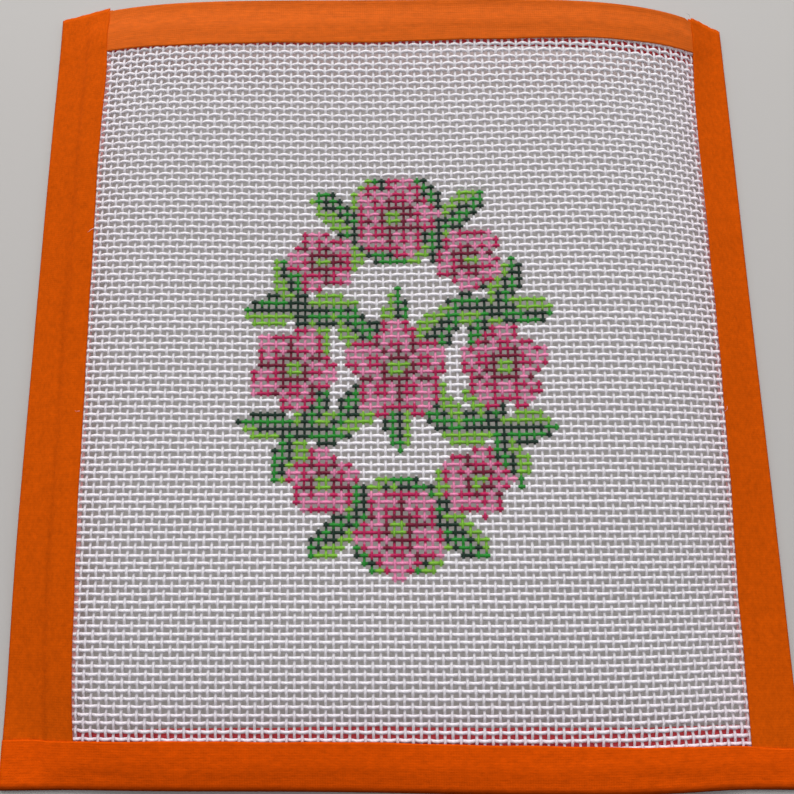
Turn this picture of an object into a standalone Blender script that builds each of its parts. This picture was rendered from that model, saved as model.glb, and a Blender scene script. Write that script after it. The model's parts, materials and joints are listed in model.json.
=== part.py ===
"""Needlepoint canvas panel: open-weave canvas bound with folded cloth tape.

The panel was rolled, so it lies on the table as a low uneven arch.  Every
piece is drawn flat first, at (across, up) in millimetres from the middle of
the panel, and is then carried onto that arch without stretching it.
"""

import bpy
import numpy as np

# Sizes in millimetres; part.py works in metres only when a mesh is written.
MM = 0.001

# Inner edge and fold of each tape: where it is at the middle of its side, how
# far it leans over 100 mm and how far it bows, because tape is put on by hand.
LEFT_INNER = (-86.2, -0.4, 1.3)
LEFT_FOLD = (-103.0, 0.2, 0.0)
RIGHT_INNER = (85.5, 1.0, 0.9)
RIGHT_FOLD = (98.0, 0.1, 0.5)
TOP_INNER = (95.5, 1.0, 0.6)
TOP_FOLD = (109.1, -1.7, -0.4)
BOTTOM_INNER = (-95.4, -1.3, -1.5)
BOTTOM_FOLD = (-107.0, -0.2, 0.0)
# How much further in the top and bottom tapes reach on the back.
TOP_REACH = (2.0, 2.0, 0.0)
BOTTOM_REACH = (3.6, 1.0, 0.0)
# Where the side tapes end at the top, at their inner edge and at their fold.
LEFT_TAPE_TOP = (111.0, 108.8)
RIGHT_TAPE_TOP = (107.8, 105.9)

# How far the canvas runs in under the tape before its raw edge.
CANVAS_UNDER = 6.5

CANVAS_THICK = 1.0
TAPE_THICK = 1.0
GAP = 0.3
# Middle of a tape leaf above or below the middle of the canvas.
LEAF_LIFT = CANVAS_THICK / 2 + GAP + TAPE_THICK / 2
# The middle of the canvas is never lower than this, so the back leaf rests flat.
REST_HEIGHT = LEAF_LIFT + TAPE_THICK / 2
# Height over which the arch eases down into the flat stretches that rest.
EASE = 4.0

# Heights of the arch, one row for each section across it.  Where it would sink
# below the resting height, as at the corners, the panel lies flat.
ARCH_ACROSS = (-102.0, -60.0, -20.0, 20.0, 60.0, 102.0)
ARCH = (
    # up, left edge, left, left middle, right middle, right, right edge
    (110.0, 1.5, 11.5, 13.5, 15.0, 14.5, 0.5),
    (55.0, 4.5, 11.0, 10.5, 12.0, 12.5, -3.5),
    (0.0, 4.5, 8.5, 8.0, 10.5, 11.5, 0.0),
    (-55.0, 5.0, 9.0, 9.5, 11.0, 9.5, -1.0),
    (-110.0, -3.0, 5.0, 6.0, 8.5, 8.0, -4.5),
)
# The weave is pulled a little out of square: shifts in the plane of the table,
# for each power of across/100 and up/100.
SKEW = (
    # power of across, power of up, shift across, shift up
    (1, 1, -0.5, -0.3),
    (0, 1, -1.7, -0.8),
    (2, 0, -0.6, 0.2),
    (0, 2, -0.1, -0.4),
    (2, 1, 0.2, 0.2),
    (1, 2, -0.3, 0.0),
)
# Middle of the finished panel on the table, which becomes the origin.
PLAN_CENTRE = (-2.3, 1.55)

# Facets: cells of the canvas, along a tape, across a leaf and round a fold.
CANVAS_CELLS = (28, 30)
ALONG_CELLS = 26
LEAF_CELLS = 3
FOLD_CELLS = 4
EDGE_CROWDING = 0.06
# Steps of the sum that turns cloth length into distance over the table.
ARC_STEPS = 24

COTTON_WHITE = (0.80, 0.80, 0.83, 1.0)
SIDE_ORANGE = (0.65, 0.10, 0.004, 1.0)
TOP_ORANGE = (0.73, 0.15, 0.02, 1.0)
BOTTOM_ORANGE = (0.55, 0.07, 0.003, 1.0)


def through_stations(value, stations):
    """Weights of the one polynomial that passes through all the stations."""
    weights = []
    for i, here in enumerate(stations):
        weight = np.ones_like(value)
        for j, other in enumerate(stations):
            if i != j:
                weight = weight * (value - other) / (here - other)
        weights.append(weight)
    return weights


def height(across, up):
    """Height of the canvas's middle surface, eased down onto its resting height."""
    rows = through_stations(up, [row[0] for row in ARCH])
    columns = through_stations(across, ARCH_ACROSS)
    arch = sum(r * c * ARCH[i][j + 1] for i, r in enumerate(rows) for j, c in enumerate(columns))
    above = np.maximum(arch - REST_HEIGHT, 0.0)
    return REST_HEIGHT + np.where(above < EASE, above**2 / (2 * EASE), above - EASE / 2)


def on_table(across, up):
    """Place of a flat point once the cloth is arched: its length along each
    thread is kept, so the distance over the table is the sum of the cosines."""
    step = 0.05
    part = (np.arange(ARC_STEPS) + 0.5) / ARC_STEPS
    along = across[..., None] * part
    rise = (height(along + step, up[..., None]) - height(along - step, up[..., None])) / (2 * step)
    x = across * np.sqrt(1 - rise**2).mean(axis=-1)
    along = up[..., None] * part
    rise = (height(across[..., None], along + step) - height(across[..., None], along - step)) / (2 * step)
    y = up * np.sqrt(1 - rise**2).mean(axis=-1)
    for power_across, power_up, shift_across, shift_up in SKEW:
        pull = (across / 100) ** power_across * (up / 100) ** power_up
        x = x + shift_across * pull
        y = y + shift_up * pull
    x = x - PLAN_CENTRE[0]
    y = y - PLAN_CENTRE[1]
    return np.stack([x, y, height(across, up)], axis=-1)


def lie(across, up, lift):
    """Flat point carried onto the arch and raised by lift along its normal."""
    step = 0.5
    right = on_table(across + step, up) - on_table(across - step, up)
    top = on_table(across, up + step) - on_table(across, up - step)
    normal = np.cross(right, top)
    normal /= np.linalg.norm(normal, axis=-1, keepdims=True)
    return on_table(across, up) + normal * lift[..., None]


def cloth_material(name, colour):
    """Plain matt cloth in one colour."""
    material = bpy.data.materials.new(name)
    material.use_nodes = True
    shader = material.node_tree.nodes["Principled BSDF"]
    shader.inputs["Base Color"].default_value = colour
    shader.inputs["Roughness"].default_value = 0.85
    shader.inputs["Metallic"].default_value = 0.0
    return material


def sheet(name, columns, rows, shape, thickness, colour, collection):
    """Grid of columns by rows cells, shaped by a function of two parameters
    that run from 0 to 1, and thickened equally on both sides."""
    bpy.ops.mesh.primitive_grid_add(x_subdivisions=columns, y_subdivisions=rows, size=2.0)
    piece = bpy.context.object
    piece.name = name
    piece.data.name = name
    for other in list(piece.users_collection):
        other.objects.unlink(piece)
    collection.objects.link(piece)
    points = np.empty(len(piece.data.vertices) * 3)
    piece.data.vertices.foreach_get("co", points)
    points = points.reshape(-1, 3)
    placed = shape((points[:, 0] + 1) / 2, (points[:, 1] + 1) / 2) * MM
    piece.data.vertices.foreach_set("co", placed.ravel())
    piece.data.update()
    thicken = piece.modifiers.new("Thickness", "SOLIDIFY")
    thicken.thickness = thickness * MM
    thicken.offset = 0.0
    piece.data.materials.append(cloth_material(name, colour))
    piece.data.shade_smooth()
    return piece


def closer_at_edges(share):
    """Same 0 to 1 run, with cells about two thirds as wide at its ends, where
    the arch bends most under the tape."""
    return share - EDGE_CROWDING * np.sin(2 * np.pi * share)


def line(edge, along):
    """Place of a leaning and bowed edge at a distance along its side."""
    share = along / 100
    return edge[0] + edge[1] * share + edge[2] * share**2


def canvas_shape(a, b):
    """The canvas runs from raw edge to raw edge, under the tape all round."""
    left = LEFT_INNER[0] - CANVAS_UNDER
    right = RIGHT_INNER[0] + CANVAS_UNDER
    bottom = BOTTOM_INNER[0] - CANVAS_UNDER
    top = TOP_INNER[0] + CANVAS_UNDER
    across = left + (right - left) * closer_at_edges(a)
    up = bottom + (top - bottom) * closer_at_edges(b)
    return lie(across, up, np.zeros_like(across))


def folded(b, width, back_reach):
    """Profile of a tape folded over an edge, at b from 0 (inner edge of the
    front leaf) to 1 (inner edge of the back leaf): distance out from the front
    leaf's inner edge, lift from the canvas, and how far round the fold it is."""
    place = b * (2 * LEAF_CELLS + FOLD_CELLS)
    front = np.clip(1 - place / LEAF_CELLS, 0, 1)
    turn = np.clip((place - LEAF_CELLS) / FOLD_CELLS, 0, 1)
    back = np.clip((place - LEAF_CELLS - FOLD_CELLS) / LEAF_CELLS, 0, 1)
    leaf = (width - LEAF_LIFT) * (1 - front) * (1 - back)
    out = leaf + LEAF_LIFT * np.sin(np.pi * turn) - back_reach * back
    return out, LEAF_LIFT * np.cos(np.pi * turn), turn


def side_tape(inner, fold, side, ends):
    """Tape over the left or right edge, from the bottom tape up to its own top
    end, past the end of the top tape.  Its back leaf is cut shorter, because
    the bottom tape reaches further in there."""

    def shape(a, b):
        width = side * (line(fold, 0.0) - line(inner, 0.0))
        out, lift, turn = folded(b, width, 0.0)
        across = line(inner, BOTTOM_INNER[0]) + side * out
        halfway_round = np.minimum(2 * turn, 1.0)
        low = line(BOTTOM_INNER, across) + GAP + line(BOTTOM_REACH, across) * halfway_round
        top = ends[0] + (ends[1] - ends[0]) * out / width
        up = low + (top - low) * a
        width = side * (line(fold, up) - line(inner, up))
        out = folded(b, width, 0.0)[0]
        return lie(line(inner, up) + side * out, up, lift)

    return shape


def top_tape(a, b):
    """Tape over the top edge, between the two side tapes."""
    across = LEFT_INNER[0] + (RIGHT_INNER[0] - LEFT_INNER[0]) * a
    width = line(TOP_FOLD, across) - line(TOP_INNER, across)
    out, lift, turn = folded(b, width, line(TOP_REACH, across))
    up = line(TOP_INNER, across) + out
    left = line(LEFT_INNER, up) + GAP
    right = line(RIGHT_INNER, up) - GAP
    return lie(left + (right - left) * a, up, lift)


def bottom_tape(a, b):
    """Tape over the bottom edge, over the full width of the panel."""
    left = line(LEFT_FOLD, BOTTOM_INNER[0])
    right = line(RIGHT_FOLD, BOTTOM_INNER[0])
    across = left + (right - left) * a
    width = line(BOTTOM_INNER, across) - line(BOTTOM_FOLD, across)
    out, lift, turn = folded(b, width, line(BOTTOM_REACH, across))
    return lie(across, line(BOTTOM_INNER, across) - out, lift)


def main():
    for thing in list(bpy.data.objects):
        bpy.data.objects.remove(thing, do_unlink=True)
    panel = bpy.data.collections.new("needlepoint_canvas_panel")
    bpy.context.scene.collection.children.link(panel)

    columns, rows = CANVAS_CELLS
    sheet("canvas", columns, rows, canvas_shape, CANVAS_THICK, COTTON_WHITE, panel)
    left = side_tape(LEFT_INNER, LEFT_FOLD, -1, LEFT_TAPE_TOP)
    right = side_tape(RIGHT_INNER, RIGHT_FOLD, 1, RIGHT_TAPE_TOP)
    around = 2 * LEAF_CELLS + FOLD_CELLS
    for name, shape, colour in (
        ("tape_top", top_tape, TOP_ORANGE),
        ("tape_left", left, SIDE_ORANGE),
        ("tape_right", right, SIDE_ORANGE),
        ("tape_bottom", bottom_tape, BOTTOM_ORANGE),
    ):
        sheet(name, ALONG_CELLS, around, shape, TAPE_THICK, colour, panel)


main()
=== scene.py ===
"""Dressed model of a needlepoint canvas panel.

Every thread of the open canvas is a tube that goes over and under its
neighbours.  The tape is thin cloth folded over the raw edges.  Each piece is
worked out flat, at (across, up) in millimetres from the middle of the panel,
and is then carried onto the arch in which the panel lies.
"""

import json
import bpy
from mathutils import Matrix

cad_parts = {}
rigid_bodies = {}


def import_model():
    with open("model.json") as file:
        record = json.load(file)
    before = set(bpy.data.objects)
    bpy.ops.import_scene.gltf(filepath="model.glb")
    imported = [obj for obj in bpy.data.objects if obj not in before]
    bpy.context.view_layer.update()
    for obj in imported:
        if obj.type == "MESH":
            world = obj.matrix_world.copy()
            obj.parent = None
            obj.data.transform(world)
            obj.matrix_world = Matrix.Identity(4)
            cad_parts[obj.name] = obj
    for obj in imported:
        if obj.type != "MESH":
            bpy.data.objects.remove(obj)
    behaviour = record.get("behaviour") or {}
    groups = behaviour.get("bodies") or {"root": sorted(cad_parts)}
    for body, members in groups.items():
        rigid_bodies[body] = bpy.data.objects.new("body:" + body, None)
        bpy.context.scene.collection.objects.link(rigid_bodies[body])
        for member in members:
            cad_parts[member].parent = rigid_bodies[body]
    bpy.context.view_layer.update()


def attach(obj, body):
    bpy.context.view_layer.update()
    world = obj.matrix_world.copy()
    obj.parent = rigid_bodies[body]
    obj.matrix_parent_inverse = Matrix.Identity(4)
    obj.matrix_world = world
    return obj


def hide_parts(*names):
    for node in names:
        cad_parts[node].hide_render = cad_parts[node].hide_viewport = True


bl_info = {
    "name": "Needlepoint Canvas Panel",
    "version": (1, 0, 0),
    "blender": (4, 5, 0),
    "location": "View3D > Sidebar > Needlepoint",
    "description": "Weaves, paints and binds a needlepoint canvas panel",
    "category": "Add Mesh",
}

import bpy
import numpy as np
from bpy.props import FloatProperty, FloatVectorProperty, IntProperty, PointerProperty

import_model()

MM = 0.001
INCH = 25.4

# Inner edge and fold of each tape (mm): where it is at the middle of its side,
# how far it leans over 100 mm and how far it bows.
LEFT_INNER = (-86.35, -0.4, 1.3)
LEFT_FOLD = (-103.0, 0.2, 0.0)
RIGHT_INNER = (85.8, 1.0, 0.9)
RIGHT_FOLD = (98.0, 0.1, 0.5)
TOP_INNER = (95.35, 1.0, 0.6)
TOP_FOLD = (109.1, -1.7, -0.4)
BOTTOM_INNER = (-95.4, -1.3, -1.5)
BOTTOM_FOLD = (-107.6, -0.2, 0.0)
# How much further in each tape reaches on the back, as leaning lines too.
SIDE_REACH = (0.4, 0.0, 0.0)
TOP_REACH = (0.6, 2.2, 1.2)
BOTTOM_REACH = (3.5, 1.5, 0.0)
# Where the side tapes end at the top, at their inner edge and at their fold.
LEFT_TAPE_TOP = (111.0, 108.8)
RIGHT_TAPE_TOP = (107.8, 105.9)
# How far the canvas runs in under the tape before its raw edge (mm).
CANVAS_UNDER = 6.5

# The arch: heights of the canvas above the table (mm), one row a section.
ARCH_ACROSS = (-102.0, -60.0, -20.0, 20.0, 60.0, 102.0)
ARCH = (
    # up, left edge, left, left middle, right middle, right, right edge
    (110.0, 1.5, 11.5, 13.5, 15.0, 14.5, 0.5),
    (55.0, 4.5, 11.0, 10.5, 12.0, 12.5, -3.5),
    (0.0, 4.5, 8.5, 8.0, 10.5, 11.5, 0.0),
    (-55.0, 5.0, 9.0, 9.5, 11.0, 9.5, -1.0),
    (-110.0, -3.0, 5.0, 6.0, 8.5, 8.0, -4.5),
)
REST_HEIGHT = 1.8
EASE = 4.0
SKEW = (
    # power of across, power of up, shift across, shift up
    (1, 1, -0.5, -0.3),
    (0, 1, -1.7, -0.8),
    (2, 0, -0.6, 0.2),
    (0, 2, -0.1, -0.4),
    (2, 1, 0.2, 0.2),
    (1, 2, -0.3, 0.0),
)
PLAN_CENTRE = (-2.3, 1.55)
# The real cloth is thinner than the solids, so it lies this much lower (mm).
SETTLE = 0.7
# Reach and step of the table of places that the arch is read from (mm).
ARCH_REACH = (112.0, 118.0)
ARCH_STEP = 1.0

# Column 0 is the first thread inside the left tape, row 0 the first under the
# top tape, and these are the column and row that cross at (0, 0).
COLUMN_AT_CENTRE = 43.2
ROW_AT_CENTRE = 48.4
COLUMNS = 88
ROWS = 98
# Threads and thread ends that carry on under the tape, in threads.
HIDDEN = 2
RINGS = 4
SIDES = 5


def from_hex(code):
    """sRGB hex colour as linear red, green and blue."""
    srgb = np.array([int(code[i : i + 2], 16) for i in (0, 2, 4)]) / 255
    linear = np.where(srgb <= 0.04045, srgb / 12.92, ((srgb + 0.055) / 1.055) ** 2.4)
    return tuple(float(c) for c in linear)


def colour_setting(name, description, code):
    """Colour property with a hex default."""
    return FloatVectorProperty(
        name=name,
        description=description,
        subtype="COLOR",
        size=3,
        min=0.0,
        max=1.0,
        default=from_hex(code),
    )


def length_setting(name, description, millimetres):
    """Length property whose default is given in millimetres."""
    return FloatProperty(
        name=name,
        description=description,
        unit="LENGTH",
        subtype="DISTANCE",
        min=0.0,
        default=millimetres * MM,
    )


class NeedlepointCanvasSettings(bpy.types.PropertyGroup):
    """Weave of the canvas."""

    mesh: IntProperty(name="Mesh", description="Threads to the inch", default=13, min=7, max=24)
    warp_width: length_setting("Warp width", "Width of an upright thread", 0.76)
    weft_width: length_setting("Weft width", "Width of a level thread", 0.96)
    warp_crimp: length_setting("Warp crimp", "How far an upright thread rises at a crossing", 0.21)
    weft_crimp: length_setting("Weft crimp", "How far a level thread rises at a crossing", 0.36)
    pressed: FloatProperty(
        name="Pressed", description="Height of a thread as a share of its width", default=0.66
    )
    cotton: colour_setting("Cotton", "Colour of the bare canvas", "F9F6FA")


class NeedlepointPaintSettings(bpy.types.PropertyGroup):
    """Paints of the garland."""

    blush: colour_setting("Blush", "Light pink of the petals", "E98BB2")
    rose: colour_setting("Rose", "Middle pink of the petals", "BC1656")
    crimson: colour_setting("Crimson", "Dark lines between petals", "780630")
    forest: colour_setting("Forest", "Dark green of stems and veins", "042E1C")
    leaf: colour_setting("Leaf", "Middle green of the leaves", "1C8C28")
    lime: colour_setting("Lime", "Light green of the leaves and blossom centres", "7CBA34")


class NeedlepointTapeSettings(bpy.types.PropertyGroup):
    """Binding tape."""

    thickness: length_setting("Thickness", "Thickness of the tape", 0.20)
    # The three tapes are one orange tape: the top one's lighter, pinker orange is a painted sheen, and
    # the bottom one's brighter orange is painted light against the shade on its slope.
    side: colour_setting("Side", "Orange of the side tapes", "D65604")
    top: colour_setting("Top", "Orange of the top tape", "DB620F")
    bottom: colour_setting("Bottom", "Orange of the bottom tape", "EA5603")
    # Painted shade: these back-leaf colours stand for the orange tape lying in the shade under the
    # canvas; the red holds the light reflected between the leaves, and the pale pink lightens the side
    # tapes' shade.
    shaded: colour_setting("Glued", "Red of the glued back leaf, seen through the canvas", "CC4A4E")
    shaded_side: colour_setting("Glued side", "Pink of the side tapes' glued back leaf", "F6BEBC")


class NeedlepointStageSettings(bpy.types.PropertyGroup):
    """Table, light and camera."""

    table: colour_setting("Table", "Colour of the table", "C6C4C0")
    window_light: FloatProperty(
        name="Window", description="Power of the window light", unit="POWER", default=8.8
    )
    through: FloatProperty(
        name="Through", description="Share of light that passes through the cloth", default=0.38
    )
    room_light: FloatProperty(
        name="Room", description="Strength of the room's soft light", default=0.58
    )
    focal: FloatProperty(name="Focal", description="Focal length in pixels of the frame", default=830.0)


class Arch:
    """Table of places and normals of the bowed cloth.

    Height is the one polynomial through the stations of ARCH, eased down onto
    the resting height.  A place over the table is the running sum of the
    cosine of the slope along each thread, so no thread is stretched, plus the
    small skew of the weave.  Normals are the cross product of the two slopes.
    """

    def __init__(self):
        count = [int(2 * reach / ARCH_STEP) + 1 for reach in ARCH_REACH]
        across, up = np.meshgrid(
            np.linspace(-ARCH_REACH[0], ARCH_REACH[0], count[0]),
            np.linspace(-ARCH_REACH[1], ARCH_REACH[1], count[1]),
        )
        rows = self.weights(up, [row[0] for row in ARCH])
        columns = self.weights(across, ARCH_ACROSS)
        arch = sum(r * c * ARCH[i][j + 1] for i, r in enumerate(rows) for j, c in enumerate(columns))
        above = np.maximum(arch - REST_HEIGHT, 0.0)
        z = REST_HEIGHT + np.where(above < EASE, above**2 / (2 * EASE), above - EASE / 2)
        x = self.reach_over_table(z, axis=1)
        y = self.reach_over_table(z, axis=0)
        for power_across, power_up, shift_across, shift_up in SKEW:
            pull = (across / 100) ** power_across * (up / 100) ** power_up
            x = x + shift_across * pull
            y = y + shift_up * pull
        self.place_table = np.stack([x - PLAN_CENTRE[0], y - PLAN_CENTRE[1], z - SETTLE], axis=-1)
        right = np.gradient(self.place_table, axis=1)
        top = np.gradient(self.place_table, axis=0)
        normal = np.cross(right, top)
        self.normal_table = normal / np.linalg.norm(normal, axis=-1, keepdims=True)

    @staticmethod
    def weights(value, stations):
        """Weights of the one polynomial that passes through all the stations."""
        found = []
        for i, here in enumerate(stations):
            weight = np.ones_like(value)
            for j, other in enumerate(stations):
                if i != j:
                    weight = weight * (value - other) / (here - other)
            found.append(weight)
        return found

    @staticmethod
    def reach_over_table(z, axis):
        """Running sum of the cosine of the slope, measured from the middle."""
        slope = np.gradient(z, ARCH_STEP, axis=axis)
        # Past the panel's edge the polynomial may be too steep for a root.
        cosine = np.sqrt(1 - np.clip(slope, -0.9, 0.9) ** 2)
        shifted = np.roll(cosine, 1, axis=axis)
        total = np.cumsum((cosine + shifted) / 2 * ARCH_STEP, axis=axis)
        middle = z.shape[axis] // 2
        return total - np.take(total, [middle], axis=axis)

    def read(self, table, across, up):
        """Value of a table between its points, by the four nearest."""
        # Places stay just inside the last point, so that a next one exists.
        a = np.clip((across + ARCH_REACH[0]) / ARCH_STEP, 0, table.shape[1] - 1.001)
        b = np.clip((up + ARCH_REACH[1]) / ARCH_STEP, 0, table.shape[0] - 1.001)
        i = a.astype(int)
        j = b.astype(int)
        a = (a - i)[..., None]
        b = (b - j)[..., None]
        low = table[j, i] * (1 - a) + table[j, i + 1] * a
        high = table[j + 1, i] * (1 - a) + table[j + 1, i + 1] * a
        return low * (1 - b) + high * b

    def place(self, across, up, lift):
        """Places in metres of flat points raised by lift along the normal."""
        return (self.read(self.place_table, across, up) + self.normal(across, up) * lift[..., None]) * MM

    def normal(self, across, up):
        """Unit normals of the cloth at flat points."""
        return self.read(self.normal_table, across, up)


ARCHED = Arch()


def line(edge, along):
    """Place of a leaning and bowed edge at a distance along its side."""
    share = along / 100
    return edge[0] + edge[1] * share + edge[2] * share**2


def smooth_step(value):
    """0 below 0, 1 above 1, and 3v^2 - 2v^3 between."""
    value = np.clip(value, 0.0, 1.0)
    return value * value * (3 - 2 * value)


def wander(rng, threads, distance, wavelengths, size):
    """Slow wander along each thread: a sum of sine waves of the given
    wavelengths (mm), each with its own random phase and strength a thread."""
    total = np.zeros((threads, distance.shape[-1]))
    for wavelength in wavelengths:
        phase = rng.uniform(0, 2 * np.pi, (threads, 1))
        strength = rng.normal(0, size, (threads, 1))
        total += strength * np.sin(2 * np.pi * distance / wavelength + phase)
    return total


def make_mesh(name, points, faces, material, attributes=()):
    """Smooth mesh object from arrays: points (n, 3) in metres, faces a list of
    (count, corners) index arrays, and named point attributes."""
    mesh = bpy.data.meshes.new(name)
    mesh.vertices.add(len(points))
    mesh.vertices.foreach_set("co", np.ascontiguousarray(points, dtype=np.float32).ravel())
    corners = np.concatenate([block.ravel() for block in faces])
    sizes = np.concatenate([np.full(len(block), block.shape[1]) for block in faces])
    mesh.loops.add(len(corners))
    mesh.loops.foreach_set("vertex_index", corners.astype(np.int32))
    mesh.polygons.add(len(sizes))
    starts = np.concatenate([[0], np.cumsum(sizes)[:-1]])
    mesh.polygons.foreach_set("loop_start", starts.astype(np.int32))
    mesh.polygons.foreach_set("use_smooth", np.ones(len(sizes), dtype=bool))
    for label, kind, field, values in attributes:
        layer = mesh.attributes.new(label, kind, "POINT")
        layer.data.foreach_set(field, np.ascontiguousarray(values, dtype=np.float32).ravel())
    mesh.update()
    mesh.validate()
    mesh.materials.append(material)
    piece = bpy.data.objects.new(name, mesh)
    bpy.context.scene.collection.objects.link(piece)
    return piece


def tube_faces(tubes, rings, sides):
    """Corner indices of closed tubes: a quad between each pair of rings and
    sides, and one face over each end."""
    tube = np.arange(tubes)[:, None, None] * rings * sides
    ring = np.arange(rings - 1)[None, :, None] * sides
    side = np.arange(sides)[None, None, :]
    following = (side + 1) % sides
    first = tube + ring + side
    second = tube + ring + following
    quads = np.stack([first, second, second + sides, first + sides], axis=-1).reshape(-1, 4)
    start = np.arange(tubes)[:, None] * rings * sides + np.arange(sides)[None, ::-1]
    end = np.arange(tubes)[:, None] * rings * sides + (rings - 1) * sides + np.arange(sides)[None, :]
    return [quads, start, end]


def tube_points(centre, normal, half_width, half_height):
    """Rings of points round each centreline: an oval in the plane square to
    the thread, cosine of its half width sideways and sine of its half height
    upwards."""
    along = np.gradient(centre, axis=1)
    along /= np.linalg.norm(along, axis=-1, keepdims=True)
    side = np.cross(along, normal)
    side /= np.linalg.norm(side, axis=-1, keepdims=True)
    upward = np.cross(side, along)
    turn = 2 * np.pi * (np.arange(SIDES) + 0.25) / SIDES
    wide = half_width[..., None, None] * np.cos(turn)[:, None] * side[:, :, None, :]
    high = half_height[..., None, None] * np.sin(turn)[:, None] * upward[:, :, None, :]
    return centre[:, :, None, :] + wide + high, turn


def add_node(tree, kind, inputs=None, **settings):
    """Add a shader node.  inputs maps the name or number of an input to the
    socket that feeds it or to its own value, and settings are attributes."""
    node = tree.nodes.new("ShaderNode" + kind)
    for key, value in settings.items():
        setattr(node, key, value)
    for key, value in (inputs or {}).items():
        if isinstance(value, bpy.types.NodeSocket):
            tree.links.new(value, node.inputs[key])
        else:
            node.inputs[key].default_value = value
    return node


def new_material(name):
    """Material without nodes, and its tree."""
    material = bpy.data.materials.new(name)
    material.use_nodes = True
    tree = material.node_tree
    tree.nodes.clear()
    return material, tree


def finish_material(tree, shader):
    """Join the shader to the material's output."""
    add_node(tree, "OutputMaterial", {"Surface": shader.outputs[0]})


# Two plies, one full twist in 1.9 mm of thread, drawn this coarse to show, so
# that a ply comes round again every 0.95 mm.
PLIES = 2
PLY_REPEAT = 0.95
# Cotton fibres are about 0.02 mm; this fuzz is drawn at 0.15 mm.
FUZZ_SCALE = 6500.0
# The paint is thinner in spots about 0.4 mm wide.
BLOTCH_SCALE = 2600.0
# Height of the plies and the fuzz, and of the tape's weave and grain (mm).
THREAD_RELIEF = 0.06
TAPE_RELIEF = 0.12
# Tape threads are about 0.3 mm apart; they are drawn 0.62 mm apart to show.
TAPE_THREADS = 0.62
# Blender's wave texture turns by this many radians for a scale of 1.
WAVE_RADIANS = 20


def cotton_thread_material(settings):
    """Mono canvas thread: bleached cotton, plied and starched, so it is matt
    with a faint sheen, and shows the slanting lines of its plies.  Paint sits
    on the outside of the plies and lets a little of the cotton show."""
    material, tree = new_material("starched_cotton_canvas")
    ply = add_node(tree, "Attribute", attribute_name="ply")
    x, y, z = add_node(tree, "SeparateXYZ", {0: ply.outputs["Vector"]}).outputs
    angle = add_node(tree, "Math", {0: y, 1: x}, operation="ARCTAN2")
    turned = add_node(tree, "Math", {0: angle.outputs[0], 1: PLIES}, operation="MULTIPLY")
    twist = add_node(tree, "Math", {0: z, 1: 2 * np.pi / PLY_REPEAT}, operation="MULTIPLY")
    phase = add_node(tree, "Math", {0: turned.outputs[0], 1: twist.outputs[0]}, operation="ADD")
    plies = add_node(tree, "Math", {0: phase.outputs[0]}, operation="SINE")
    place = add_node(tree, "TexCoord").outputs["Object"]
    fuzz = add_node(tree, "TexNoise", {"Vector": place, "Scale": FUZZ_SCALE, "Detail": 3.0})
    relief = add_node(tree, "Math", {0: plies.outputs[0], 1: fuzz.outputs["Fac"]}, operation="ADD")
    bump = add_node(
        tree, "Bump", {"Height": relief.outputs[0], "Strength": 0.35, "Distance": THREAD_RELIEF * MM}
    )
    paint = add_node(tree, "Attribute", attribute_name="paint")
    tone_and_painted_light = add_node(tree, "Attribute", attribute_name="tone_and_painted_light")
    blotch = add_node(tree, "TexNoise", {"Vector": place, "Scale": BLOTCH_SCALE, "Detail": 2.0})
    limits = {"From Min": 0.22, "From Max": 0.42, "To Min": 0.94, "To Max": 1.0}
    cover = add_node(tree, "MapRange", {"Value": blotch.outputs["Fac"], **limits})
    share = add_node(
        tree, "Math", {0: paint.outputs["Alpha"], 1: cover.outputs[0]}, operation="MULTIPLY"
    )
    # The cotton is multiplied by the tone attribute, which holds painted highlight, shade and reflected
    # orange light as well as slow greying.
    cotton = add_node(
        tree,
        "Mix",
        {0: 1.0, 6: (*settings.cotton, 1.0), 7: tone_and_painted_light.outputs["Color"]},
        data_type="RGBA",
        blend_type="MULTIPLY",
    )
    layers = {0: share.outputs[0], 6: cotton.outputs[2], 7: paint.outputs["Color"]}
    colour = add_node(tree, "Mix", layers, data_type="RGBA")
    finish = {
        "Base Color": colour.outputs[2],
        "Normal": bump.outputs[0],
        "Roughness": 0.7,
        "Specular IOR Level": 0.35,
        "IOR": 1.5,
        "Sheen Weight": 0.08,
        "Sheen Roughness": 0.5,
    }
    finish_material(tree, add_node(tree, "BsdfPrincipled", finish))
    return material


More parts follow.
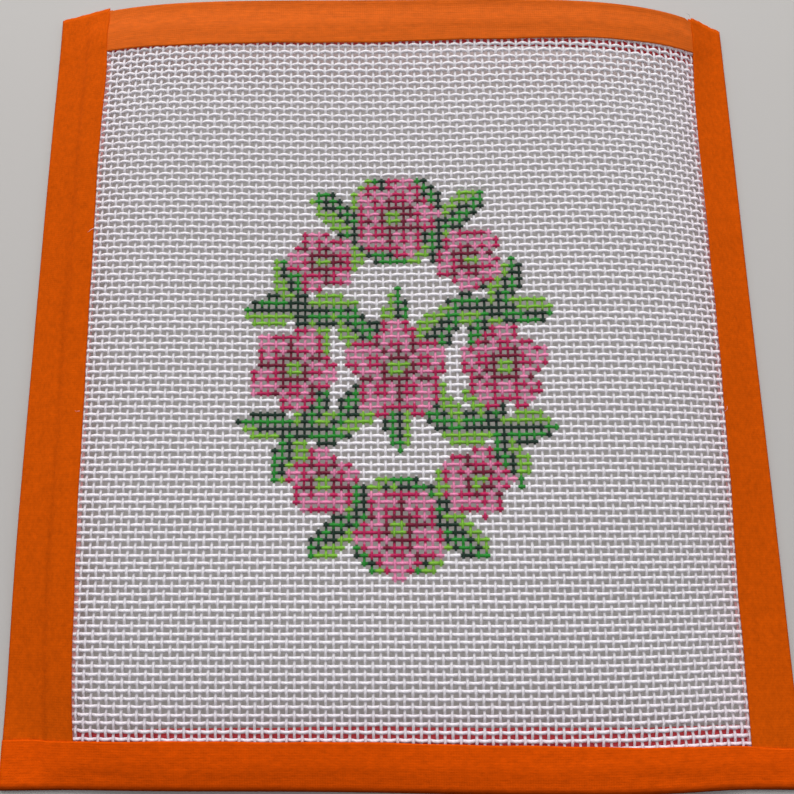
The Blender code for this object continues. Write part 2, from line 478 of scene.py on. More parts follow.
def cloth_tape_material(name, colour, shaded, streaks, specular, sheen):
    """Cotton binding tape: plain woven, dyed and lightly coated, so it is matt
    with a soft sheen.  Its weave is fine, with faint streaks along its length,
    and its back leaf has a painted shade colour of its own.  Its folds are
    painted darker, as shade."""
    material, tree = new_material(name)
    flat = add_node(tree, "Attribute", attribute_name="flat").outputs["Vector"]
    threads = {
        "Vector": flat,
        "Scale": 2 * np.pi / WAVE_RADIANS / TAPE_THREADS,
        "Distortion": 1.5,
    }
    across = add_node(tree, "TexWave", threads, bands_direction="X")
    up = add_node(tree, "TexWave", threads, bands_direction="Y")
    weave = add_node(tree, "Math", {0: across.outputs["Fac"], 1: up.outputs["Fac"]}, operation="ADD")
    mapping = add_node(tree, "Mapping", {"Vector": flat, "Scale": (*streaks, 1.0)})
    streak = add_node(
        tree, "TexNoise", {"Vector": mapping.outputs[0], "Scale": 1.0, "Detail": 4.0}
    )
    mottle = add_node(
        tree, "TexNoise", {"Vector": flat, "Scale": 0.35, "Detail": 6.0, "Roughness": 0.75}
    )
    grains = {0: mottle.outputs["Fac"], 1: 1.6, 2: streak.outputs["Fac"]}
    grain = add_node(tree, "Math", grains, operation="MULTIPLY_ADD")
    heights = {0: weave.outputs[0], 1: 0.24, 2: grain.outputs[0]}
    relief = add_node(tree, "Math", heights, operation="MULTIPLY_ADD")
    bump = add_node(
        tree, "Bump", {"Height": relief.outputs[0], "Strength": 0.55, "Distance": TAPE_RELIEF * MM}
    )
    limits = {"From Min": 0.9, "From Max": 1.7, "To Min": 0.83, "To Max": 1.13}
    shade = add_node(tree, "MapRange", {"Value": grain.outputs[0], **limits})
    # The folds' painted shade and the left tape's dark seam line come in through this attribute.
    fold_shade_and_seam = add_node(tree, "Attribute", attribute_name="fold_shade_and_seam")
    dark = add_node(
        tree, "Math", {0: shade.outputs[0], 1: fold_shade_and_seam.outputs["Fac"]}, operation="MULTIPLY"
    )
    back = add_node(tree, "Attribute", attribute_name="back")
    # The back leaf is given its painted shade colour here.
    front_and_shaded_back = {0: back.outputs["Fac"], 6: (*colour, 1.0), 7: (*shaded, 1.0)}
    leaf = add_node(tree, "Mix", front_and_shaded_back, data_type="RGBA")
    dyed = add_node(
        tree,
        "Mix",
        {0: 1.0, 6: leaf.outputs[2], 7: dark.outputs[0]},
        data_type="RGBA",
        blend_type="MULTIPLY",
    )
    finish = {
        "Base Color": dyed.outputs[2],
        "Normal": bump.outputs[0],
        "Roughness": 0.75,
        "IOR": 1.45,
        "Specular IOR Level": specular,
        "Sheen Weight": sheen,
        "Sheen Roughness": 0.45,
        "Sheen Tint": (1.0, 0.4, 0.08, 1.0),
    }
    finish_material(tree, add_node(tree, "BsdfPrincipled", finish))
    return material


def lens(x, y, length, width):
    """Leaf outline: how far (x, y) is inside a lens from x = 0 to length, as a
    share of its half width, a parabola along the length to the power 0.7."""
    half = width / 2 * np.clip(4 * x / length * (1 - x / length), 0, None) ** 0.7
    return np.where(half > LEAF_TIP, 1 - np.abs(y) / np.maximum(half, LEAF_TIP), -1.0)


# Colours of the chart, in the order of their numbers; 0 is bare canvas.
BARE, BLUSH, ROSE, CRIMSON, FOREST, LEAF, LIME = range(7)
# Middle of the garland, in columns and rows, and its half axes in threads.
GARLAND_COLUMN = 41.8
GARLAND_ROW = 48.6
GARLAND_HALF_WIDTH = 14.6
GARLAND_HALF_HEIGHT = 22.2
GARLAND_BLOSSOMS = 8
LARGE_BLOSSOM = 6.3
SMALL_BLOSSOM = 5.0
MIDDLE_BLOSSOM = 7.4
# Leaves round each gap between blossoms: tilt from outward (degrees), length.
LEAF_PAIRS = ((-38, 8.5), (34, 8.0), (150, 8.0), (-146, 8.5))
LEAF_WIDTH = 4.6
# Half width at which a leaf ends.
LEAF_TIP = 0.05


def paint_leaf(chart, x, y, from_x, from_y, degrees, length, width):
    """One pointed leaf: forest outline and vein, leaf green on one side of the
    vein and lime on the other."""
    turn = np.radians(degrees)
    along = (x - from_x) * np.cos(turn) + (y - from_y) * np.sin(turn)
    aside = -(x - from_x) * np.sin(turn) + (y - from_y) * np.cos(turn)
    inside = lens(along, aside, length, width)
    chart[inside > 0] = LEAF
    chart[(inside > 0) & (aside > 0.4)] = LIME
    chart[(inside > 0) & (inside < 0.3) & (aside < 0)] = FOREST
    chart[(inside > 0) & (np.abs(aside) < 0.45) & (along < 0.8 * length)] = FOREST


def paint_blossom(chart, x, y, centre_x, centre_y, radius, degrees, petals=5):
    """Round blossom: its edge is a circle scalloped by petals, with crimson
    lines between petals, a rose rim, and a lime eye ringed in crimson."""
    away = np.hypot(x - centre_x, y - centre_y)
    angle = np.arctan2(y - centre_y, x - centre_x) - np.radians(degrees)
    petal = np.abs(np.cos(petals / 2 * angle))
    share = away / (radius * (0.74 + 0.26 * petal))
    chart[share < 1] = BLUSH
    chart[(share < 1) & (share > 0.78) & (petal < 0.92)] = ROSE
    chart[(share < 0.62) & (share > 0.3) & (petal > 0.75)] = ROSE
    chart[(share < 0.9) & (petal * away < 0.9)] = CRIMSON
    chart[share < 0.36] = CRIMSON
    chart[share < 0.2] = LIME


def paint_chart():
    """Garland of round blossoms and paired leaves on an oval, round one larger
    blossom: a colour number for each crossing of a column and a row."""
    column, row = np.meshgrid(np.arange(COLUMNS), np.arange(ROWS), indexing="ij")
    x = column - GARLAND_COLUMN
    y = GARLAND_ROW - row
    chart = np.zeros(x.shape, dtype=int)
    oval = np.hypot(x / GARLAND_HALF_WIDTH, y / GARLAND_HALF_HEIGHT)
    angle = np.arctan2(y / GARLAND_HALF_HEIGHT, x / GARLAND_HALF_WIDTH)
    chart[np.abs(oval - 1 - 0.03 * np.sin(12 * angle)) < 0.035] = FOREST
    for k in range(GARLAND_BLOSSOMS):
        turn = 2 * np.pi * (k + 0.5) / GARLAND_BLOSSOMS
        from_x = GARLAND_HALF_WIDTH * np.cos(turn)
        from_y = GARLAND_HALF_HEIGHT * np.sin(turn)
        outward = np.degrees(np.arctan2(from_y, from_x))
        for tilt, length in LEAF_PAIRS:
            paint_leaf(chart, x, y, from_x, from_y, outward + tilt, length, LEAF_WIDTH)
    for degrees in (45, 135, 225, 315):
        paint_leaf(chart, x, y, 0.0, 0.0, degrees, 12.5, 5.4)
    for degrees in (90, 270):
        paint_leaf(chart, x, y, 0.0, 0.0, degrees, 12.0, 4.2)
    for k in range(GARLAND_BLOSSOMS):
        turn = 2 * np.pi * k / GARLAND_BLOSSOMS
        radius = LARGE_BLOSSOM if k % 2 == 0 else SMALL_BLOSSOM
        at_x = GARLAND_HALF_WIDTH * np.cos(turn)
        at_y = GARLAND_HALF_HEIGHT * np.sin(turn)
        paint_blossom(chart, x, y, at_x, at_y, radius, 90 + 29 * k)
    paint_blossom(chart, x, y, 0.0, 0.0, MIDDLE_BLOSSOM, 90)
    return chart


# How many pieces each set of threads is made in.
BANDS = 3
# Threads stray sideways (mm) and swell (as a share of their width): the
# wavelengths (mm) and size of the waves, and a shift of each thread's own.
STRAY_WAVES = (9.0, 23.0, 61.0)
STRAY = 0.028
STRAY_EACH = 0.03
SWELL_WAVES = (3.1, 7.7, 17.0)
SWELL = 0.03
SWELL_EACH = 0.025
# How far on the plies' twist is from one thread to the next (mm).
PLY_SHIFT = 0.37
# Paint is a little stronger or weaker at each crossing.
PAINT_SPREAD = 0.05
PAINT_LIMITS = (0.85, 1.12)
# Painted light and shade: lightness of a thread between crossings, and how ridden it is at mid height; a
# thread is painted lighter where it rides over the others.
UPRIGHT_LIGHT_AND_SHADE = (0.70, 0.15)
LEVEL_LIGHT_AND_SHADE = (0.95, 0.5)
# Slow greying of the threads: wavelengths (mm) and size of the waves.
GREY_WAVES = (5.0, 31.0)
GREY = 0.012
# Painted orange light reflected from the tape: pink tint next to the left, right, top and bottom tape,
# how far it reaches (mm), and how much of it red, green, blue and alpha lose.
TINT = (0.04, 0.08, 0.02, 0.09)
TINT_REACH = 6.0
TINT_TAKES = (0.0, 1.0, 0.7, 0.0)


class NEEDLEPOINT_OT_canvas(bpy.types.Operator):
    """Weave the canvas thread by thread and paint the garland on it"""

    bl_idname = "needlepoint.canvas"
    bl_label = "Weave canvas"

    def execute(self, context):
        settings = context.scene.needlepoint_canvas
        paints = context.scene.needlepoint_paint
        material = cotton_thread_material(settings)
        colours = (paints.blush, paints.rose, paints.crimson, paints.forest, paints.leaf, paints.lime)
        palette = np.array([(1, 1, 1), *colours])
        chart = paint_chart()
        rng = np.random.default_rng(31)
        made = self.weave(settings, material, palette, chart, rng, upright=True)
        made += self.weave(settings, material, palette, chart, rng, upright=False)
        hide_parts("canvas")
        for piece in made:
            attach(piece, "root")
        return {"FINISHED"}

    def weave(self, settings, material, palette, chart, rng, upright):
        """One set of parallel threads.  A thread's centreline rises and falls
        as the cosine of half a turn a crossing, the two sets in opposite
        sense, so that where one is over the other is under."""
        pitch = INCH / settings.mesh
        threads = COLUMNS if upright else ROWS
        crossings = ROWS if upright else COLUMNS
        number = np.arange(-HIDDEN, threads + HIDDEN)
        rings = (crossings + 2 * HIDDEN) * RINGS
        crossing = -HIDDEN - 0.5 + (np.arange(rings) + 0.5) / RINGS
        distance = crossing[None, :] * pitch
        here, there = np.meshgrid(number, crossing, indexing="ij")
        strays = wander(rng, len(number), distance, STRAY_WAVES, STRAY)
        strays += rng.normal(0, STRAY_EACH, (len(number), 1))
        swell = 1 + wander(rng, len(number), distance, SWELL_WAVES, SWELL)
        swell += rng.normal(0, SWELL_EACH, (len(number), 1))
        crimp = (settings.warp_crimp if upright else settings.weft_crimp) / MM
        wave = np.cos(np.pi * (there + here))
        lift = (crimp if upright else -crimp) * wave
        if upright:
            across = (here - COLUMN_AT_CENTRE) * pitch + strays
            up = (ROW_AT_CENTRE - there) * pitch
        else:
            across = (there - COLUMN_AT_CENTRE) * pitch
            up = (ROW_AT_CENTRE - here) * pitch + strays
        centre = ARCHED.place(across, up, lift)
        normal = ARCHED.normal(across, up)
        radius = (settings.warp_width if upright else settings.weft_width) / 2 * swell
        points, turn = tube_points(centre, normal, radius, radius * settings.pressed)
        column = np.clip(np.round(here if upright else there).astype(int), 0, COLUMNS - 1)
        row = np.clip(np.round(there if upright else here).astype(int), 0, ROWS - 1)
        colour_number = chart[column, row]
        strength = rng.normal(1.0, PAINT_SPREAD, chart.shape)[column, row]
        colour = palette[colour_number] * np.clip(strength, *PAINT_LIMITS)[..., None]
        # Paint is full on a thread's upper side and thins out below.
        facing = np.clip(0.9 + 0.6 * np.sin(turn), 0, 1)
        cover = (colour_number > 0)[..., None] * facing
        paint = np.concatenate(
            [np.broadcast_to(colour[:, :, None, :], (*cover.shape, 3)), cover[..., None]], axis=-1
        )
        twist = distance[:, :, None] + number[:, None, None] * PLY_SHIFT
        ply = np.stack(
            [np.broadcast_to(value, cover.shape) for value in (np.cos(turn), np.sin(turn), twist)],
            axis=-1,
        )
        # Painted highlight and shade: a thread is painted lighter where it rides over the others,
        # and between crossings the upright threads are painted darker, for the shade they lie in.
        between, half_ridden = UPRIGHT_LIGHT_AND_SHADE if upright else LEVEL_LIGHT_AND_SHADE
        ridden = smooth_step(half_ridden + 0.9 * lift / crimp)
        tone_and_painted_light = between + (1 - between) * ridden
        tone_and_painted_light = tone_and_painted_light - np.abs(wander(rng, len(number), distance, GREY_WAVES, GREY))
        # Painted reflected light: threads next to the tape are painted faintly pink, for the orange
        # light reflected from it.
        inside = (
            across - line(LEFT_INNER, up),
            line(RIGHT_INNER, up) - across,
            line(TOP_INNER, across) - up,
            up - line(BOTTOM_INNER, across),
        )
        tint = sum(
            share * np.exp(-np.clip(beside, 0, None) / TINT_REACH)
            for share, beside in zip(TINT, inside)
        )
        kept = 1 - tint[..., None] * TINT_TAKES
        tone_and_painted_light = np.broadcast_to((tone_and_painted_light[..., None] * kept)[:, :, None, :], (*cover.shape, 4))
        made = []
        for band, chosen in enumerate(np.array_split(np.arange(len(number)), BANDS)):
            name = f"canvas_{'warp' if upright else 'weft'}_{band + 1}"
            piece = make_mesh(
                name,
                points[chosen].reshape(-1, 3),
                tube_faces(len(chosen), rings, SIDES),
                material,
                (
                    ("paint", "FLOAT_COLOR", "color", paint[chosen].reshape(-1, 4)),
                    ("ply", "FLOAT_VECTOR", "vector", ply[chosen].reshape(-1, 3)),
                    ("tone_and_painted_light", "FLOAT_COLOR", "color", tone_and_painted_light[chosen].reshape(-1, 4)),
                ),
            )
            made.append(piece)
        return made


# Small soft troughs of the tape, given one by one (mm, degrees).
CREASES = (
    # across, up, heading, length, width, depth
    (-96.5, -79.0, 4.0, 6.0, 0.9, 0.16),
    (-90.0, -57.0, -8.0, 4.5, 0.9, 0.12),
    (-93.0, 38.0, 20.0, 6.0, 1.6, 0.10),
    (-99.0, 82.0, 86.0, 12.0, 1.2, 0.10),
    (-60.0, -101.0, 2.0, 9.0, 1.2, 0.12),
    (-78.0, -103.5, -4.0, 6.0, 1.0, 0.14),
    (-20.0, -103.0, 1.0, 14.0, 1.4, 0.10),
    (64.0, -104.0, -3.0, 8.0, 1.2, 0.12),
    (40.0, -99.5, 3.0, 10.0, 1.0, 0.08),
    (92.0, -66.0, 10.0, 5.0, 1.2, 0.09),
    (94.0, 14.0, 84.0, 16.0, 1.5, 0.08),
    (-40.0, 103.0, 1.0, 15.0, 1.4, 0.10),
    (28.0, 99.0, -2.0, 18.0, 1.3, 0.09),
)
# How far a leaf is from the canvas's middle, on the canvas and past it (mm).
LEAF_ON_CANVAS = 0.77
LEAF_ON_LEAF = 0.18
# Beyond the raw edge the two leaves meet this far below the canvas's middle.
EDGE_DROP = 0.20
# Over how much of its width the tape drops past the raw edge, at the left and
# at the other sides (mm).
SHARP_EASE = 3.0
SOFT_EASE = 7.0
# How much a fold is thicker, how far in, and how softly that starts (mm).
BEAD = 0.12
BOTTOM_BEAD = 0.10
BEAD_REACH = 2.2
BEAD_EASE = 1.7
# Reach of the half ellipse round the fold (mm).
FOLD_RADIUS = 0.4
BOTTOM_FOLD_RADIUS = 1.1
# How far a tape is lifted over the one that it covers, and over how much (mm).
OVERLAP_LIFT = 0.21
OVERLAP_EASE = 4.0
# Above the window the left tape's inner edge leans out (mm a mm), from here up.
LEFT_LEAN = 0.09
LEFT_LEAN_FROM = 90
# How far short of a covering tape's fold an end stops, and how far short of
# its end a fold stops (mm).
UNDER_LAP = 0.9
TUCK = 0.8
# How far the side tapes' cut ends bow out in the middle of the end (mm).
END_BOW = 2.4
# The waviness of a cut edge is gone this far out from it (mm).
RAGGED_REACH = 6
# Painted shade: how much darker a fold is painted, where it turns away from the light, and how far in
# from it that reaches (mm).
FOLD_SHADE = (0.35, 0.5)
BOTTOM_FOLD_SHADE = (0.78, 2.3)
# The dark line of the canvas's edge under the left tape: how far out it is from
# that edge and how wide (mm), how dark, and how it fades going up the panel.
SEAM_BEYOND = 1.0
SEAM_WIDTH = 0.7
SEAM_DEPTH = 0.15
SEAM_FADE = 0.7
SEAM_FADE_FROM = 10
SEAM_FADE_OVER = 70
# The back leaf is painted its shade colour only this far past the window's low or left end
# and its high or right end (mm).
SHADED_BACK_PAST = (3, 2)
# The back leaf takes its grain from this much further across the cloth (mm).
GRAIN_SHIFT = 40
LEAF_CELLS = 26
FOLD_CELLS = 8
# Points along each tape, about 1.25 mm apart.
ALONG_POINTS = 168


def canvas_share(across, up):
    """1 where the canvas lies between the leaves and 0 past its raw edge.  The
    edge shows as a soft line on the left and is hardly felt elsewhere."""
    left = smooth_step((across - LEFT_INNER[0] + CANVAS_UNDER) / SHARP_EASE + 0.5)
    right = smooth_step((RIGHT_INNER[0] + CANVAS_UNDER - across) / SOFT_EASE + 0.8)
    bottom = smooth_step((up - BOTTOM_INNER[0] + CANVAS_UNDER) / SOFT_EASE + 0.8)
    top = smooth_step((TOP_INNER[0] + CANVAS_UNDER - up) / SOFT_EASE + 0.8)
    return left * right * bottom * top


def crease_lift(across, up):
    """Sum of the creases, each a bell curve across it and along it."""
    total = np.zeros_like(across)
    for at_across, at_up, heading, length, width, depth in CREASES:
        turn = np.radians(heading)
        along = (across - at_across) * np.cos(turn) + (up - at_up) * np.sin(turn)
        aside = -(across - at_across) * np.sin(turn) + (up - at_up) * np.cos(turn)
        total -= depth * np.exp(-((along / length) ** 2) - (aside / width) ** 2)
    return total


def uneven(across, up):
    """Slow unevenness of glued tape: four crossed sine waves."""
    return 0.035 * (
        np.sin(across / 5.3 + up / 9.1)
        + np.sin(across / 11.7 - up / 6.1 + 1.0)
        + np.sin(across / 3.1 + up / 17.0 + 2.0)
        + np.sin(up / 3.7 - across / 23.0)
    )


class NEEDLEPOINT_OT_tape(bpy.types.Operator):
    """Fold the four tapes over the raw edges of the canvas"""

    bl_idname = "needlepoint.tape"
    bl_label = "Bind with tape"

    def execute(self, context):
        settings = context.scene.needlepoint_tape
        # After the colours: streaks to the millimetre across and up, specular
        # level and sheen.
        side = cloth_tape_material(
            "dyed_cotton_tape_side", settings.side, settings.shaded_side, (0.5, 0.9), 0.02, 0.02
        )
        # The top tape's lighter, pinker orange is a painted sheen, and the bottom tape's brighter orange
        # is painted light against the shade on its slope.
        top = cloth_tape_material(
            "dyed_cotton_tape_top_painted_sheen", settings.top, settings.shaded, (0.12, 1.6), 0.12, 0.12
        )
        bottom = cloth_tape_material(
            "dyed_cotton_tape_bottom_painted_light", settings.bottom, settings.shaded, (0.5, 0.8), 0.02, 0.02
        )
        tapes = (
            # node, slot, material, edge, inner, fold, reach on the back
            ("tape_top", "tape_top", top, "top", TOP_INNER, TOP_FOLD, TOP_REACH),
            ("tape_left", "tape_side", side, "left", LEFT_INNER, LEFT_FOLD, SIDE_REACH),
            ("tape_right", "tape_side", side, "right", RIGHT_INNER, RIGHT_FOLD, SIDE_REACH),
            ("tape_bottom", "tape_bottom", bottom, "bottom", BOTTOM_INNER, BOTTOM_FOLD, BOTTOM_REACH),
        )
        for node, slot, material, edge, inner, fold, reach in tapes:
            piece, flat = self.fold(node, material, edge, inner, fold, reach, settings.thickness)
            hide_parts(node)
            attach(piece, "root")
        return {"FINISHED"}

    @staticmethod
    def side_tape_end(across):
        """How far up the side tapes reach where they cover the top tape, and
        without end between them."""
        left = (LEFT_INNER[0] - across) / (LEFT_INNER[0] - LEFT_FOLD[0])
        right = (across - RIGHT_INNER[0]) / (RIGHT_FOLD[0] - RIGHT_INNER[0])
        left_end = LEFT_TAPE_TOP[0] + (LEFT_TAPE_TOP[1] - LEFT_TAPE_TOP[0]) * left
        right_end = RIGHT_TAPE_TOP[0] + (RIGHT_TAPE_TOP[1] - RIGHT_TAPE_TOP[0]) * right
        return np.where(left > 0, left_end, np.where(right > 0, right_end, np.inf))

    def fold(self, node, material, edge, inner, fold, reach, thickness):
        """One tape.  Its profile runs from the front leaf's inner edge out to
        the fold, round a half ellipse and back under.  Leaves are a canvas
        apart over the canvas and drop together past its raw edge."""
        side = -1 if edge in ("left", "bottom") else 1
        middle_width = side * (fold[0] - inner[0])
        fold_turn = np.linspace(0, np.pi, FOLD_CELLS + 1)[1:-1]
        leaf = np.linspace(0, 1, LEAF_CELLS + 1)
        front = np.concatenate([1 - leaf, np.zeros(FOLD_CELLS + LEAF_CELLS)])
        back = np.concatenate([np.zeros(LEAF_CELLS + FOLD_CELLS), leaf])
        turn = np.concatenate([0 * leaf, fold_turn, np.full(LEAF_CELLS + 1, np.pi)])
        share = np.linspace(0, 1, ALONG_POINTS)
        share, front = np.meshgrid(share, front, indexing="ij")
        back = np.broadcast_to(back, share.shape)
        turn = np.broadcast_to(turn, share.shape)
        # The profile's turn is 0 on the front leaf and pi on the back leaf.
        on_front = turn < 0.1
        on_back = turn > 3.0
        near = (1 - front) * (1 - back)
        if edge in ("left", "right"):
            # The bottom tape covers these tapes' low ends.
            low = BOTTOM_FOLD[0] + UNDER_LAP
            ends = LEFT_TAPE_TOP if edge == "left" else RIGHT_TAPE_TOP
            frayed = 0.07 * np.sin(near * 23.0) + 0.04 * np.sin(near * 61.0 + 1.0)
            frayed = frayed + END_BOW * near * (1 - near)
            along = low + (ends[0] + (ends[1] - ends[0]) * near + frayed - low) * share
        elif edge == "top":
            left = line(LEFT_FOLD, TOP_INNER[0]) + UNDER_LAP
            right = line(RIGHT_FOLD, TOP_INNER[0]) - UNDER_LAP
            along = left + (right - left) * share
        else:
            left = line(LEFT_FOLD, BOTTOM_INNER[0])
            right = line(RIGHT_FOLD, BOTTOM_INNER[0])
            along = left + (right - left) * share
        width = side * (line(fold, along) - line(inner, along))
        if edge == "top":
            width = np.minimum(width, self.side_tape_end(along) - TUCK - line(inner, along))
        radius = BOTTOM_FOLD_RADIUS if edge == "bottom" else FOLD_RADIUS
        out = (width - radius) * near + radius * np.sin(turn) - line(reach, along) * back
        # Cut edges are never quite straight.
        ragged = 0.09 * np.sin(along / 7.3) + 0.05 * np.sin(along / 2.9 + 1.0)
        ragged = ragged * np.clip(1 - out / RAGGED_REACH, 0, 1)
        place = line(inner, along) + side * (out + ragged)
        if edge == "left":
            place = place - LEFT_LEAN * np.maximum(along - LEFT_LEAN_FROM, 0) * (1 - near)
        across, up = (place, along) if edge in ("left", "right") else (along, place)
        over_canvas = canvas_share(across, up)
        near_fold = smooth_step((out - width + BEAD_REACH) / BEAD_EASE)
        bead = BOTTOM_BEAD if edge == "bottom" else BEAD
        gap = LEAF_ON_LEAF + (LEAF_ON_CANVAS - LEAF_ON_LEAF) * over_canvas + bead * near_fold
        if edge in ("left", "right"):
            past_top = smooth_step((up - line(TOP_INNER, across)) / OVERLAP_EASE + 0.5)
            covers = past_top * smooth_step(width - out)
        elif edge == "bottom":
            past_left = smooth_step((line(LEFT_INNER, up) - across) / OVERLAP_EASE + 0.5)
            past_right = smooth_step((across - line(RIGHT_INNER, up)) / OVERLAP_EASE + 0.5)
            covers = past_left + past_right
        else:
            covers = np.zeros_like(along)
        gap = gap + OVERLAP_LIFT * covers
        middle = -EDGE_DROP * (1 - over_canvas)
        soft = (crease_lift(across, up) + uneven(across, up)) * on_front
        points = ARCHED.place(across, up, middle + gap * np.cos(turn) + soft)
        rows, columns = along.shape
        index = np.arange(rows * columns).reshape(rows, columns)
        corners = [index[:-1, :-1], index[1:, :-1], index[1:, 1:], index[:-1, 1:]]
        quads = np.stack(corners, axis=-1).reshape(-1, 4)
        if edge in ("left", "bottom"):
            quads = quads[:, ::-1]
        # Painted shade: the tape is painted darker towards its fold, where it turns away from the light;
        # on the left tape the dark line along the canvas's edge is added to it.
        depth, reach_in = BOTTOM_FOLD_SHADE if edge == "bottom" else FOLD_SHADE
        fold_shade_and_seam = 1 - depth * smooth_step((out - width + reach_in) / reach_in) * ~on_back
        if edge == "left":
            seam = np.abs(out - CANVAS_UNDER - SEAM_BEYOND - 0.25 * np.sin(along / 13.0))
            uneven_depth = SEAM_DEPTH * (0.7 + 0.3 * np.sin(along / 9.0))
            fading = 1 - SEAM_FADE * smooth_step((along - SEAM_FADE_FROM) / SEAM_FADE_OVER)
            fold_shade_and_seam = fold_shade_and_seam - np.exp(-((seam / SEAM_WIDTH) ** 2)) * uneven_depth * fading
        # The back leaf's painted shade is seen only through the canvas, so the ends stay orange.
        start, end = LEFT_INNER, RIGHT_INNER
        if edge in ("left", "right"):
            start, end = BOTTOM_INNER, TOP_INNER
        shaded_back = on_back & (along > start[0] - SHADED_BACK_PAST[0]) & (along < end[0] + SHADED_BACK_PAST[1])
        flat = np.stack([across, up, out + GRAIN_SHIFT * (turn > 1.6)], axis=-1)
        piece = make_mesh(
            node + "_cloth",
            points.reshape(-1, 3),
            [quads],
            material,
            (
                ("flat", "FLOAT_VECTOR", "vector", flat.reshape(-1, 3)),
                ("fold_shade_and_seam", "FLOAT", "value", fold_shade_and_seam.ravel()),
                ("back", "FLOAT", "value", shaded_back.astype(float).ravel()),
            ),
        )
        thicken = piece.modifiers.new("Thickness", "SOLIDIFY")
        thicken.thickness = thickness
        thicken.offset = 0.0
        length = float(along.max() - along.min())
        return piece, ((2 * middle_width + reach[0]) * MM, length * MM)


# Fibres that have come loose and one dark fleck: where each starts and how it
# lies (mm, degrees).
FIBRES = (
    # across, up, heading, length, bend, thickness, lift, dark
    (-84.4, 39.9, 186.0, 3.6, 28.0, 0.12, 0.95, 0.0),
    (-86.9, -12.0, 200.0, 1.4, -40.0, 0.06, 1.0, 0.0),
    (87.3, 107.6, 120.0, 1.7, 60.0, 0.07, 0.5, 0.7),
    (88.4, 107.5, 75.0, 1.2, -50.0, 0.05, 0.5, 0.7),
    (-87.2, 110.7, 60.0, 1.1, 30.0, 0.05, 0.5, 0.0),
    (-102.4, 108.8, 40.0, 1.0, 30.0, 0.05, 0.4, 0.0),
    (85.2, -12.0, 30.0, 1.8, 50.0, 0.07, 1.0, 0.0),
    (-48.9, -78.6, 15.0, 0.9, 20.0, 0.16, 0.70, 1.0),
)
FIBRE_RINGS = 16
# How far a fibre rises in its middle (mm), and how dark the dark ones are.
FIBRE_RISE = 0.25
FIBRE_DARK = 0.02


class NEEDLEPOINT_OT_fibres(bpy.types.Operator):
    """Lay the few loose fibres at the tape's edges"""

    bl_idname = "needlepoint.fibres"
    bl_label = "Loose fibres"

    def execute(self, context):
        material = cotton_thread_material(context.scene.needlepoint_canvas)
        material.name = "loose_cotton_fibre"
        share = np.linspace(0, 1, FIBRE_RINGS)
        columns = np.array(FIBRES).T[..., None]
        across, up, heading, length, bend, thick, lift, dark = columns
        # Each fibre turns steadily as it goes: an arc of its length and bend.
        turn = np.radians(heading + bend * share)
        step = length / (FIBRE_RINGS - 1)
        across = across + np.cumsum(np.cos(turn) * step, axis=1)
        up = up + np.cumsum(np.sin(turn) * step, axis=1)
        lift = lift + FIBRE_RISE * np.sin(np.pi * share)
        centre = ARCHED.place(across, up, lift)
        radius = thick * MM / 2 * (1 - 0.5 * share)
        points, angle = tube_points(centre, ARCHED.normal(across, up), radius, radius)
        shape = points.shape[:3]
        paint = np.full((*shape, 4), FIBRE_DARK)
        paint[..., 3] = dark[..., None]
        ply = np.zeros((*shape, 3))
        ply[..., 0] = np.cos(angle)
        ply[..., 1] = np.sin(angle)
        piece = make_mesh(
            "loose_fibres",
            points.reshape(-1, 3),
            tube_faces(len(FIBRES), FIBRE_RINGS, SIDES),
            material,
            (
                ("paint", "FLOAT_COLOR", "color", paint),
                ("ply", "FLOAT_VECTOR", "vector", ply),
                ("tone_and_painted_light", "FLOAT_COLOR", "color", np.ones((*shape, 4))),
            ),
        )
        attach(piece, "root")
        return {"FINISHED"}


# Half the width of the table, and the places of window and camera (m).
TABLE_HALF = 1.5
WINDOW_PLACE = (-0.08, 0.80, 0.656)
WINDOW_SIZE = 1.04
WINDOW_COLOUR = (1.0, 0.985, 0.97)
ROOM_COLOUR = (0.97, 0.96, 1.0, 1.0)
CAMERA_PLACE = (-0.0006, -0.05325, 0.2236)
# The camera's tilt (degrees), and the width of its sensor (mm) and frame (pixels).
CAMERA_TILT = 11.34
SENSOR_WIDTH = 36.0
FRAME_PIXELS = 794


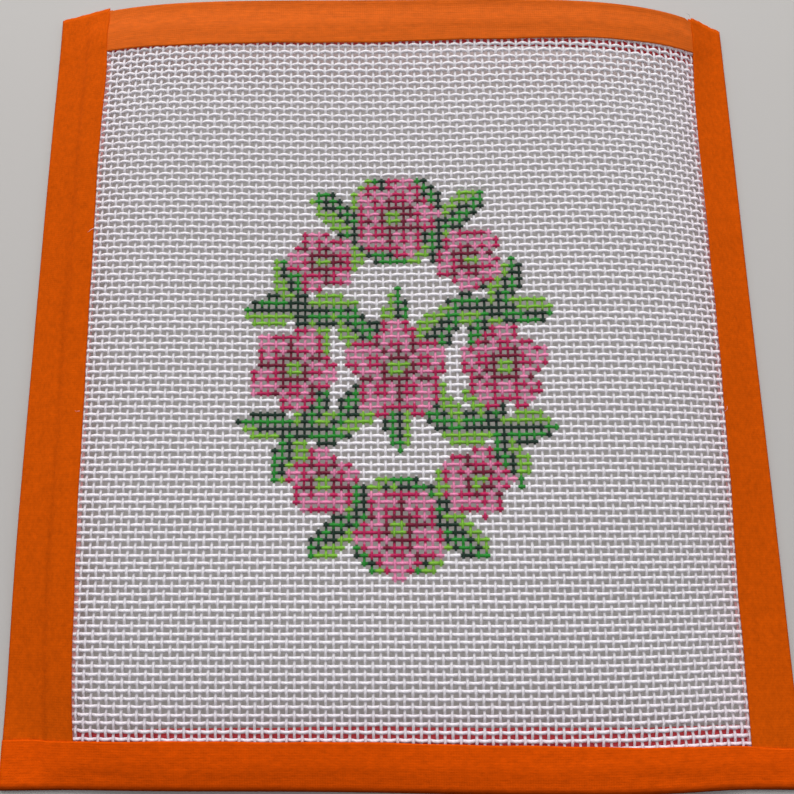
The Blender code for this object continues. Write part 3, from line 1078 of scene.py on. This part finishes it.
class NEEDLEPOINT_OT_stage(bpy.types.Operator):
    """Set the table, the lights and the camera"""

    bl_idname = "needlepoint.stage"
    bl_label = "Set stage"

    def execute(self, context):
        settings = context.scene.needlepoint_stage
        self.table(settings)
        self.lights(context, settings)
        self.camera(context, settings)
        return {"FINISHED"}

    def table(self, settings):
        """Flat square table top, laminated board: smooth, pale and satin."""
        material, tree = new_material("pale_laminate_table")
        place = add_node(tree, "TexCoord").outputs["Object"]
        grain = add_node(tree, "TexNoise", {"Vector": place, "Scale": 900.0, "Detail": 2.0})
        limits = {"To Min": 0.5, "To Max": 0.62}
        rough = add_node(tree, "MapRange", {"Value": grain.outputs["Fac"], **limits})
        finish = {
            "Base Color": (*settings.table, 1.0),
            "Roughness": rough.outputs[0],
            "Specular IOR Level": 0.3,
            "IOR": 1.45,
        }
        finish_material(tree, add_node(tree, "BsdfPrincipled", finish))
        corners = ((-1, -1, 0), (1, -1, 0), (1, 1, 0), (-1, 1, 0))
        points = TABLE_HALF * np.array(corners)
        floor = make_mesh("table_top", points, [np.array([[0, 1, 2, 3]])], material)

    def lights(self, context, settings):
        """A wide soft window beyond the panel's top edge, and soft room light.
        Part of the window's light isn't shaded by the canvas and the top and
        side tapes, and stands for light that passes through thin cloth."""
        cloth = bpy.data.collections.new("cloth_that_passes_light")
        for piece in context.scene.objects:
            if piece.name.startswith(("canvas_", "tape_top", "tape_left", "tape_right")):
                cloth.objects.link(piece)
        for member in cloth.collection_objects:
            member.light_linking.link_state = "EXCLUDE"
        self.window(context, "window", settings.window_light * (1 - settings.through))
        passing = self.window(context, "window_through_cloth", settings.window_light * settings.through)
        passing.light_linking.blocker_collection = cloth
        world = bpy.data.worlds.new("room")
        world.use_nodes = True
        tree = world.node_tree
        sky = tree.nodes["Background"]
        sky.inputs["Color"].default_value = ROOM_COLOUR
        # The room is dimmer on the near side.
        place = add_node(tree, "TexCoord")
        split = add_node(tree, "SeparateXYZ", {0: place.outputs["Generated"]})
        limits = {
            "From Min": -0.8,
            "From Max": 0.5,
            "To Min": 0.15 * settings.room_light,
            "To Max": 1.3 * settings.room_light,
        }
        dim = add_node(tree, "MapRange", {"Value": split.outputs[1], **limits})
        tree.links.new(dim.outputs[0], sky.inputs["Strength"])
        context.scene.world = world
        context.scene.view_settings.view_transform = "Standard"

    @staticmethod
    def window(context, name, power):
        """Square window light of the given power, turned towards the panel."""
        lamp = bpy.data.lights.new(name, "AREA")
        lamp.size = WINDOW_SIZE
        lamp.energy = power
        lamp.color = WINDOW_COLOUR
        light = bpy.data.objects.new(name, lamp)
        light.location = WINDOW_PLACE
        aim = -np.array(light.location)
        yaw = np.arctan2(aim[0], -aim[1])
        pitch = np.arctan2(np.hypot(aim[0], aim[1]), -aim[2])
        light.rotation_euler = (-pitch, 0.0, yaw)
        context.scene.collection.objects.link(light)
        return light

    def camera(self, context, settings):
        """Camera almost straight above the lower half of the panel."""
        optics = bpy.data.cameras.new("camera")
        optics.sensor_width = SENSOR_WIDTH
        optics.lens = settings.focal / FRAME_PIXELS * SENSOR_WIDTH
        optics.clip_start = 0.01
        viewer = bpy.data.objects.new("camera", optics)
        viewer.location = CAMERA_PLACE
        viewer.rotation_euler = (np.radians(CAMERA_TILT), 0.0, 0.0)
        context.scene.collection.objects.link(viewer)
        context.scene.camera = viewer


class NEEDLEPOINT_PT_panel(bpy.types.Panel):
    """Sidebar panel with the settings and the steps in order"""

    bl_idname = "NEEDLEPOINT_PT_panel"
    bl_label = "Needlepoint"
    bl_space_type = "VIEW_3D"
    bl_region_type = "UI"
    bl_category = "Needlepoint"

    def draw(self, context):
        for group, _ in GROUPS:
            settings = getattr(context.scene, group)
            column = self.layout.column(align=True)
            for name in settings.__annotations__:
                column.prop(settings, name)
        for step in STEPS:
            self.layout.operator(step.bl_idname)


STEPS = (
    NEEDLEPOINT_OT_canvas,
    NEEDLEPOINT_OT_tape,
    NEEDLEPOINT_OT_fibres,
    NEEDLEPOINT_OT_stage,
)
GROUPS = (
    ("needlepoint_canvas", NeedlepointCanvasSettings),
    ("needlepoint_paint", NeedlepointPaintSettings),
    ("needlepoint_tape", NeedlepointTapeSettings),
    ("needlepoint_stage", NeedlepointStageSettings),
)


def register():
    for name, group in GROUPS:
        bpy.utils.register_class(group)
        setattr(bpy.types.Scene, name, PointerProperty(type=group))
    for step in STEPS:
        bpy.utils.register_class(step)
    bpy.utils.register_class(NEEDLEPOINT_PT_panel)


def unregister():
    bpy.utils.unregister_class(NEEDLEPOINT_PT_panel)
    for step in reversed(STEPS):
        bpy.utils.unregister_class(step)
    for name, group in reversed(GROUPS):
        delattr(bpy.types.Scene, name)
        bpy.utils.unregister_class(group)


def main():
    register()
    bpy.ops.needlepoint.canvas()
    bpy.ops.needlepoint.tape()
    bpy.ops.needlepoint.fibres()
    bpy.ops.needlepoint.stage()


if __name__ == "__main__":
    main()
